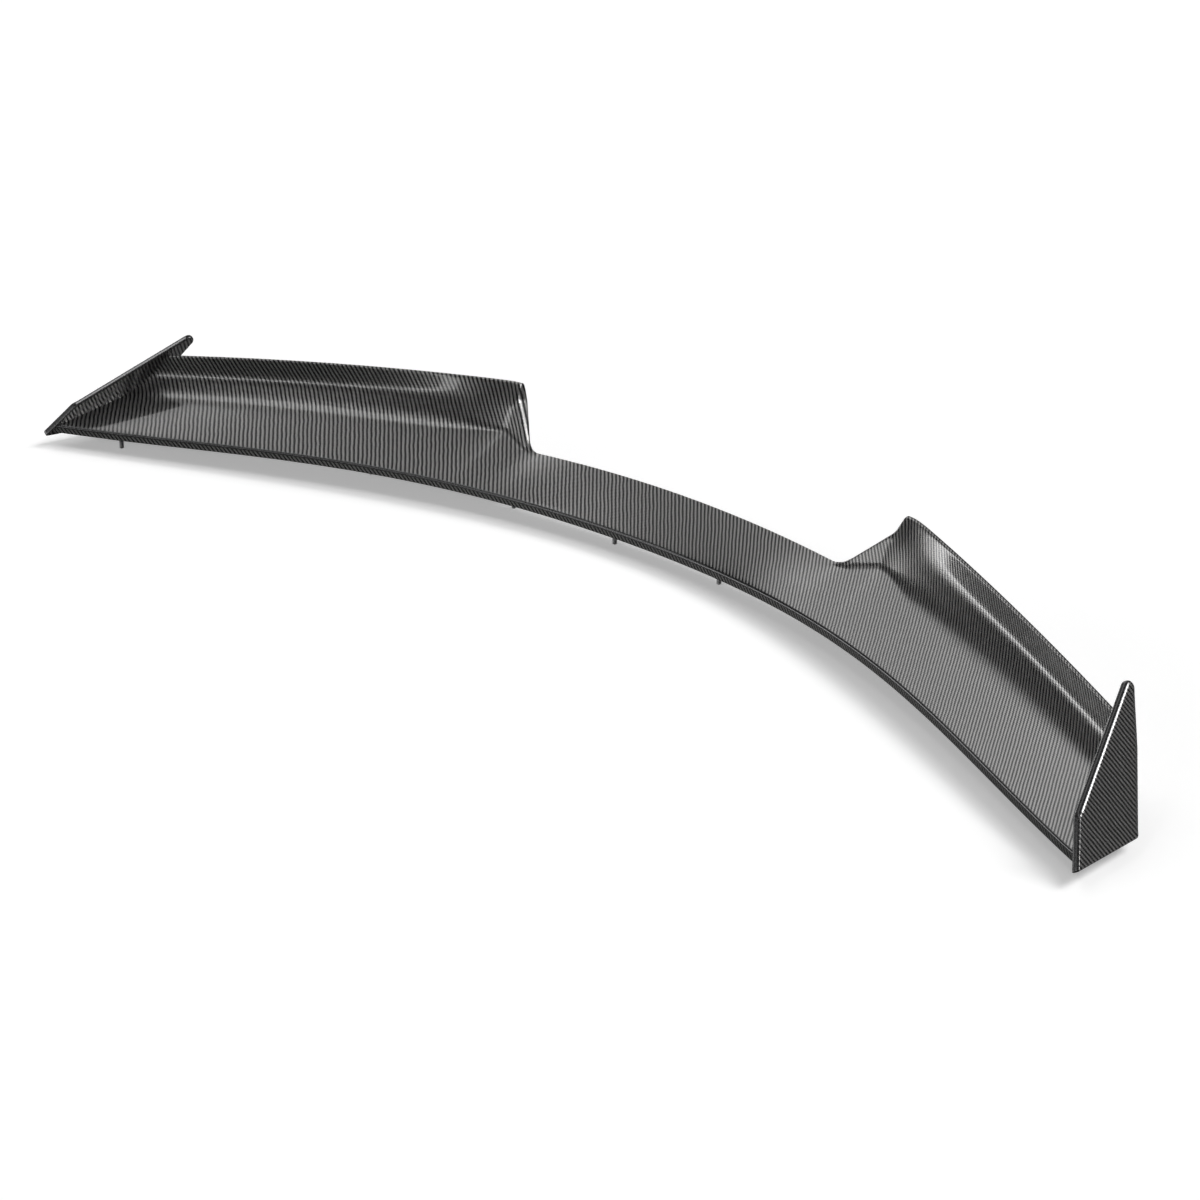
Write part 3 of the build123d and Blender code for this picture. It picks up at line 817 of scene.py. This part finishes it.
def carbon():
    """Clear-coated two-by-two twill. The cloth's coordinates come from the mesh's own layer."""
    n = Nodes("twill_carbon_gloss")
    cloth = n.add("ShaderNodeUVMap", uv_map="cloth")
    wander = n.add("ShaderNodeTexNoise", noise_dimensions="2D")
    wander.inputs["Scale"].default_value = WANDER_SCALE
    wander.inputs["Detail"].default_value = 1.0
    n.link(cloth.outputs[0], wander.inputs["Vector"])
    laid = n.add("ShaderNodeVectorRotate", rotation_type="Z_AXIS")
    laid.inputs["Angle"].default_value = -CLOTH_TURN
    n.link(cloth.outputs[0], laid.inputs["Vector"])
    split = n.add("ShaderNodeSeparateXYZ")
    n.link(laid.outputs[0], split.inputs[0])
    drift = n.math("MULTIPLY", n.math("SUBTRACT", wander.outputs[0], 0.5), WANDER_REACH)
    u = n.math("ADD", n.math("DIVIDE", split.outputs[0], TOW), drift)
    v = n.math("ADD", n.math("DIVIDE", split.outputs[1], TOW), drift)
    column, row = n.math("FLOOR", u), n.math("FLOOR", v)
    # Each tow dives under two others, then rides over two
    warp_wave = n.math("SINE", n.math("MULTIPLY", n.math("ADD", v, column), math.pi / 2))
    weft_wave = n.math("SINE", n.math("MULTIPLY", n.math("ADD", u, row), -math.pi / 2))

    def crown(position):
        off_centre = n.math("MULTIPLY", n.math("SUBTRACT", n.math("FRACT", position), 0.5), 2.0)
        return n.math("SUBTRACT", 1.0, n.math("MULTIPLY", off_centre, off_centre))

    warp_crown, weft_crown = crown(u), crown(v)
    warp_height = n.math("ADD", warp_wave, n.math("MULTIPLY", warp_crown, TOW_CROWN))
    weft_height = n.math("ADD", weft_wave, n.math("MULTIPLY", weft_crown, TOW_CROWN))
    over = n.math("SUBTRACT", weft_height, warp_height)
    weft_on_top = n.ramp(over, -TOW_BLEND, TOW_BLEND)
    height = n.math("MAXIMUM", warp_height, weft_height)
    # Filament streaks run along each tow
    streaks = []
    for stretch in ((STREAK_ACROSS, STREAK_ALONG, 1.0), (STREAK_ALONG, STREAK_ACROSS, 1.0)):
        scaled = n.add("ShaderNodeVectorMath", operation="MULTIPLY")
        scaled.inputs[1].default_value = stretch
        n.link(laid.outputs[0], scaled.inputs[0])
        noise = n.add("ShaderNodeTexNoise", noise_dimensions="2D")
        noise.inputs["Scale"].default_value = 1.0
        noise.inputs["Detail"].default_value = 2.0
        n.link(scaled.outputs[0], noise.inputs["Vector"])
        streaks.append(n.ramp(noise.outputs[0], *STREAK_RAMP))
    warp_tone = n.colour(streaks[0], *WARP_TONES)
    # painted sheen on the weft tows
    weft_sheen_tone = n.colour(streaks[1], *WEFT_SHEEN_TONES)
    tone = n.colour(weft_on_top, warp_tone, weft_sheen_tone)
    # painted shade: the lower the weave's surface, the darker its colour
    groove_shade = n.ramp(height, *GROOVE_SHADE_RAMP)
    shaded = n.add("ShaderNodeVectorMath", operation="SCALE")
    n.link(tone, shaded.inputs[0])
    n.link(groove_shade, shaded.inputs["Scale"])
    # At the end plates' rims and along the nose the cloth fades out under thick resin
    rim = n.add("ShaderNodeSeparateXYZ")
    n.link(n.add("ShaderNodeUVMap", uv_map="rim").outputs[0], rim.inputs[0])
    n.link(n.colour(rim.outputs[0], shaded.outputs[0], RIM_TONE), n.shader.inputs["Base Color"])
    bump = n.add("ShaderNodeBump")
    n.link(n.ramp(rim.outputs[0], 0.0, 1.0, WEAVE_STRENGTH, 0.0), bump.inputs["Strength"])
    bump.inputs["Distance"].default_value = WEAVE_DEPTH
    n.link(height, bump.inputs["Height"])
    n.link(bump.outputs[0], n.shader.inputs["Normal"])
    n.link(n.ramp(weft_on_top, 0.0, 1.0, *WEAVE_ROUGHNESS), n.shader.inputs["Roughness"])
    n.set(Metallic=0.85, Coat_Weight=1.0, Coat_Roughness=0.03, Coat_IOR=1.5)
    return n.material


def speckled(name, dark, light, scale, roughness, metallic=0.0, bump_depth=0.00005):
    """Plain stuff with the fine mottling and unevenness that its surface has."""
    n = Nodes(name)
    where = n.add("ShaderNodeTexCoord")
    noise = n.add("ShaderNodeTexNoise")
    noise.inputs["Scale"].default_value = scale
    noise.inputs["Detail"].default_value = 6.0
    n.link(where.outputs["Object"], noise.inputs["Vector"])
    share = n.ramp(noise.outputs[0], *MOTTLE_RAMP)
    n.link(n.colour(share, dark, light), n.shader.inputs["Base Color"])
    rough = n.ramp(share, 0.0, 1.0, roughness - MOTTLE_ROUGHNESS, roughness + MOTTLE_ROUGHNESS)
    n.link(rough, n.shader.inputs["Roughness"])
    bump = n.add("ShaderNodeBump")
    bump.inputs["Strength"].default_value = MOTTLE_STRENGTH
    bump.inputs["Distance"].default_value = bump_depth
    n.link(noise.outputs[0], bump.inputs["Height"])
    n.link(bump.outputs[0], n.shader.inputs["Normal"])
    n.set(Metallic=metallic)
    return n.material


MATERIALS = {
    "twill_carbon": carbon(),
    "core_foam": speckled("structural_foam", (0.42, 0.36, 0.22), (0.62, 0.55, 0.36),
                          scale=900.0, roughness=0.85, bump_depth=0.0003),
    "zinc_steel": speckled("zinc_plated_steel", (0.56, 0.56, 0.58), (0.80, 0.80, 0.79),
                           scale=500.0, roughness=0.34, metallic=0.6),
    "dowel_aluminium": speckled("turned_aluminium", (0.55, 0.56, 0.57), (0.72, 0.72, 0.73),
                                scale=700.0, roughness=0.32, metallic=1.0),
    "black_nylon": speckled("black_nylon", (0.010, 0.010, 0.011), (0.028, 0.028, 0.030),
                            scale=1400.0, roughness=0.42),
    "seal_rubber": speckled("seal_rubber", (0.008, 0.008, 0.008), (0.020, 0.020, 0.020),
                            scale=1200.0, roughness=0.68),
    "tape_foam": speckled("foam_tape", (0.018, 0.018, 0.019), (0.045, 0.045, 0.048),
                          scale=2200.0, roughness=0.9, bump_depth=0.0002),
}


# ---- The pieces ---------------------------------------------------------------------
def settle(piece, slot, *nodes):
    """Gives a piece its material, its body and the nodes that it stands for."""
    piece.data.materials.append(MATERIALS[slot])
    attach(piece, "root")
    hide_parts(*nodes)


settle(laminate_full("upper_skin", upper_lines, NOSE_COLUMNS), "twill_carbon", "upper_shell")
settle(laminate_full("underside_skin", lower_lines), "twill_carbon", "lower_panel")
for node, panel in rear_panels().items():
    settle(panel, "twill_carbon", node)
for side, hand in ((1.0, "right"), (-1.0, "left")):
    outer = plate_half(f"end_plate_outer_skin_{hand}", side, True)
    settle(outer, "twill_carbon", f"end_plate_outer_{hand}")
    inner = plate_half(f"end_plate_inner_skin_{hand}", side, False)
    settle(inner, "twill_carbon", f"end_plate_inner_{hand}")
studs = ring_mesh("threaded_studs", [stud_rings(*spot) for spot in STUD_PLACES], crisp=THREAD_CRISP_ANGLE)
settle(studs, "zinc_steel", "studs")
bosses = ring_mesh("moulded_bosses", [boss_rings(*spot) for spot in STUD_PLACES], closed_profile=True)
settle(bosses, "black_nylon", "stud_bosses")
gaskets = ring_mesh("rubber_gaskets", [gasket_rings(*spot) for spot in STUD_PLACES], closed_profile=True)
settle(gaskets, "seal_rubber", "stud_gaskets")
pins = ring_mesh("nylon_locating_pins", [pin_rings(side) for side in (-1, 1)])
settle(pins, "black_nylon", "locating_pins")

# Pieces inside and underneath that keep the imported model's shape and only get a material
KEPT = {
    "core_foam": ("lip_core_left", "lip_core_right", "end_plate_core_left", "end_plate_core_right",
                  "rib_centre", "rib_inner_left", "rib_inner_right", "rib_middle_left", "rib_middle_right",
                  "end_rib_left", "end_rib_right"),
    "dowel_aluminium": ("end_plate_dowels",),
    "zinc_steel": ("stud_plates",),
    "tape_foam": ("front_tape", "rear_tape"),
}
for slot, names in KEPT.items():
    for name in names:
        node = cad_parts[name]
        node.data.materials.clear()
        node.data.materials.append(MATERIALS[slot])


# ---- Floor, light and camera ----------------------------------------------------------
FLOOR_HALF_SIZE = 40.0
FLOOR_CELLS = 8
FLOOR_WHITE = 0.95
FLOOR_GLOW = 0.34           # a little light of the floor's own lifts the shadows
# What the wing's gloss sees: the floor is darkened in front of the wing, a painted shadow of the wing, and
# is pale behind it
FLOOR_FRONT_Y, FLOOR_BACK_Y = -0.45, 0.0
FLOOR_FRONT_SHADE, FLOOR_BACK = 0.06, 0.22


def floor():
    """Pale floor at the level that the studs' ends stand on: white to the camera, darker to reflections,
    with a painted shadow in front of the wing.
    """
    work = bmesh.new()
    bmesh.ops.create_grid(work, x_segments=FLOOR_CELLS, y_segments=FLOOR_CELLS, size=FLOOR_HALF_SIZE)
    mesh = bpy.data.meshes.new("floor")
    work.to_mesh(mesh)
    work.free()
    plane = bpy.data.objects.new("floor", mesh)
    bpy.context.scene.collection.objects.link(plane)
    plane.location.z = CAD_BOX[0].z
    n = Nodes("pale_floor")
    where = n.add("ShaderNodeTexCoord")
    split = n.add("ShaderNodeSeparateXYZ")
    n.link(where.outputs["Object"], split.inputs[0])
    # painted shadow of the wing, seen only in reflections
    reflected_floor = n.colour(n.ramp(split.outputs["Y"], FLOOR_FRONT_Y, FLOOR_BACK_Y),
                         (FLOOR_FRONT_SHADE,) * 3, (FLOOR_BACK,) * 3)
    seen = n.add("ShaderNodeLightPath").outputs["Is Camera Ray"]
    n.link(n.colour(seen, reflected_floor, (FLOOR_WHITE,) * 3), n.shader.inputs["Base Color"])
    n.link(n.math("MULTIPLY", seen, FLOOR_GLOW), n.shader.inputs["Emission Strength"])
    n.set(Emission_Color=(1.0, 1.0, 1.0, 1.0), Roughness=0.9, Specular_IOR_Level=0.0)
    mesh.materials.append(n.material)


# Soft boxes and lit walls of the studio: (compass of its middle, cosine where it starts
# and is full, sine of elevation where it starts, is full, fades and ends, brightness)
STUDIO = {
    "left_wall": ((-0.98, -0.20), (0.3, 0.6), (-0.30, -0.20, 0.14, 0.24), 1.8),
    "left_strip": ((-0.98, -0.20), (0.8, 0.9), (0.01, 0.04, 0.09, 0.12), 2.0),
    "left_bank": ((-0.85, 0.53), (0.84, 0.95), (0.50, 0.57, 0.70, 0.82), 1.2),
    "left_dome": ((-1.0, 0.0), (0.5, 0.8), (0.64, 0.70, 0.76, 0.95), 0.5),
    "rear_wall": ((0.50, 0.85), (0.7, 0.9), (-0.30, -0.20, 0.20, 0.32), 0.1),
    "rear_dome": ((0.35, 0.94), (0.7, 0.9), (0.35, 0.55, 0.85, 0.92), 0.4),
    "key": ((0.95, 0.30), (0.76, 0.88), (0.62, 0.74, 0.86, 0.91), 6.0),
    "key_core": ((0.62, 0.78), (0.985, 0.995), (0.58, 0.64, 0.84, 0.90), 16.0),
    "front_strip": ((0.0, -1.0), (0.5, 0.7), (0.32, 0.36, 0.42, 0.46), 2.6),
}
# A narrow lamp overhead: where X and Y of its direction start, are full, fade and end
TUBE_X = (-0.58, -0.52, -0.28, -0.20)
TUBE_Y = (-0.34, -0.29, -0.15, -0.10)
TUBE_LOWEST = 0.3
TUBE_BRIGHT = 1.6
# A small round lamp: its direction, cosine where it starts and is full, and brightness
SPOT = (-0.18, -0.37, 0.91)
SPOT_COSINES = (0.994, 0.997)
SPOT_BRIGHT = 6.0
AMBIENT = 0.03              # from every direction


def studio():
    """World light: soft-edged panels by direction, as if far away, so the floor is lit evenly."""
    world = bpy.data.worlds.new("studio")
    bpy.context.scene.world = world
    world.use_nodes = True
    tree = world.node_tree
    tree.nodes.clear()

    def add(kind, **settings):
        node = tree.nodes.new(kind)
        for key, value in settings.items():
            setattr(node, key, value)
        return node

    def joined(operation, a, b):
        node = add("ShaderNodeMath", operation=operation)
        for socket, value in zip(node.inputs, (a, b)):
            if isinstance(value, float):
                socket.default_value = value
            else:
                tree.links.new(value, socket)
        return node.outputs[0]

    def faded(value, low, high):
        node = add("ShaderNodeMapRange", interpolation_type="SMOOTHSTEP")
        tree.links.new(value, node.inputs["Value"])
        node.inputs["From Min"].default_value = low
        node.inputs["From Max"].default_value = high
        return node.outputs["Result"]

    def towards(vector, direction):
        node = add("ShaderNodeVectorMath", operation="DOT_PRODUCT")
        tree.links.new(vector, node.inputs[0])
        node.inputs[1].default_value = direction
        return node.outputs["Value"]

    def within(value, rise, full, fade, end):
        return joined("MULTIPLY", faded(value, rise, full), faded(value, end, fade))

    where = add("ShaderNodeTexCoord").outputs["Generated"]
    flat = add("ShaderNodeVectorMath", operation="MULTIPLY")
    flat.inputs[1].default_value = (1.0, 1.0, 0.0)
    tree.links.new(where, flat.inputs[0])
    level = add("ShaderNodeVectorMath", operation="NORMALIZE")
    tree.links.new(flat.outputs[0], level.inputs[0])
    up = towards(where, (0.0, 0.0, 1.0))
    overhead = joined("GREATER_THAN", up, TUBE_LOWEST)
    tube = joined("MULTIPLY", within(towards(where, (1.0, 0.0, 0.0)), *TUBE_X),
                  within(towards(where, (0.0, 1.0, 0.0)), *TUBE_Y))
    total = joined("MULTIPLY", joined("MULTIPLY", tube, overhead), TUBE_BRIGHT)
    spot = faded(towards(where, SPOT), *SPOT_COSINES)
    total = joined("ADD", total, joined("MULTIPLY", spot, SPOT_BRIGHT))
    for compass, (start, full), heights, bright in STUDIO.values():
        facing = faded(towards(level.outputs[0], (*compass, 0.0)), start, full)
        panel = joined("MULTIPLY", facing, within(up, *heights))
        total = joined("ADD", total, joined("MULTIPLY", panel, bright))
    total = joined("ADD", total, AMBIENT)
    background = add("ShaderNodeBackground")
    tree.links.new(total, background.inputs["Strength"])
    output = add("ShaderNodeOutputWorld")
    tree.links.new(background.outputs[0], output.inputs[0])


CAMERA_AZIMUTH = math.radians(46.5)
CAMERA_ELEVATION = math.radians(22.52)
CAMERA_AIM = Vector((0.1471, -0.1285, 0.068))
CAMERA_DISTANCE = 3.437
CAMERA_LENS = 93.0
CAMERA_SENSOR = 36.0


def camera():
    """Camera in front of the wing and to its right, looking down at it."""
    data = bpy.data.cameras.new("camera")
    data.sensor_width = CAMERA_SENSOR
    data.lens = CAMERA_LENS
    data.clip_start, data.clip_end = 0.05, 200.0
    eye = bpy.data.objects.new("camera", data)
    bpy.context.scene.collection.objects.link(eye)
    level = math.cos(CAMERA_ELEVATION)
    back = Vector((math.sin(CAMERA_AZIMUTH) * level, -math.cos(CAMERA_AZIMUTH) * level,
                   math.sin(CAMERA_ELEVATION)))
    eye.location = CAMERA_AIM + back * CAMERA_DISTANCE
    eye.rotation_euler = (-back).to_track_quat("-Z", "Y").to_euler()
    bpy.context.scene.camera = eye


floor()
studio()
camera()
bpy.context.scene.view_settings.view_transform = "Standard"
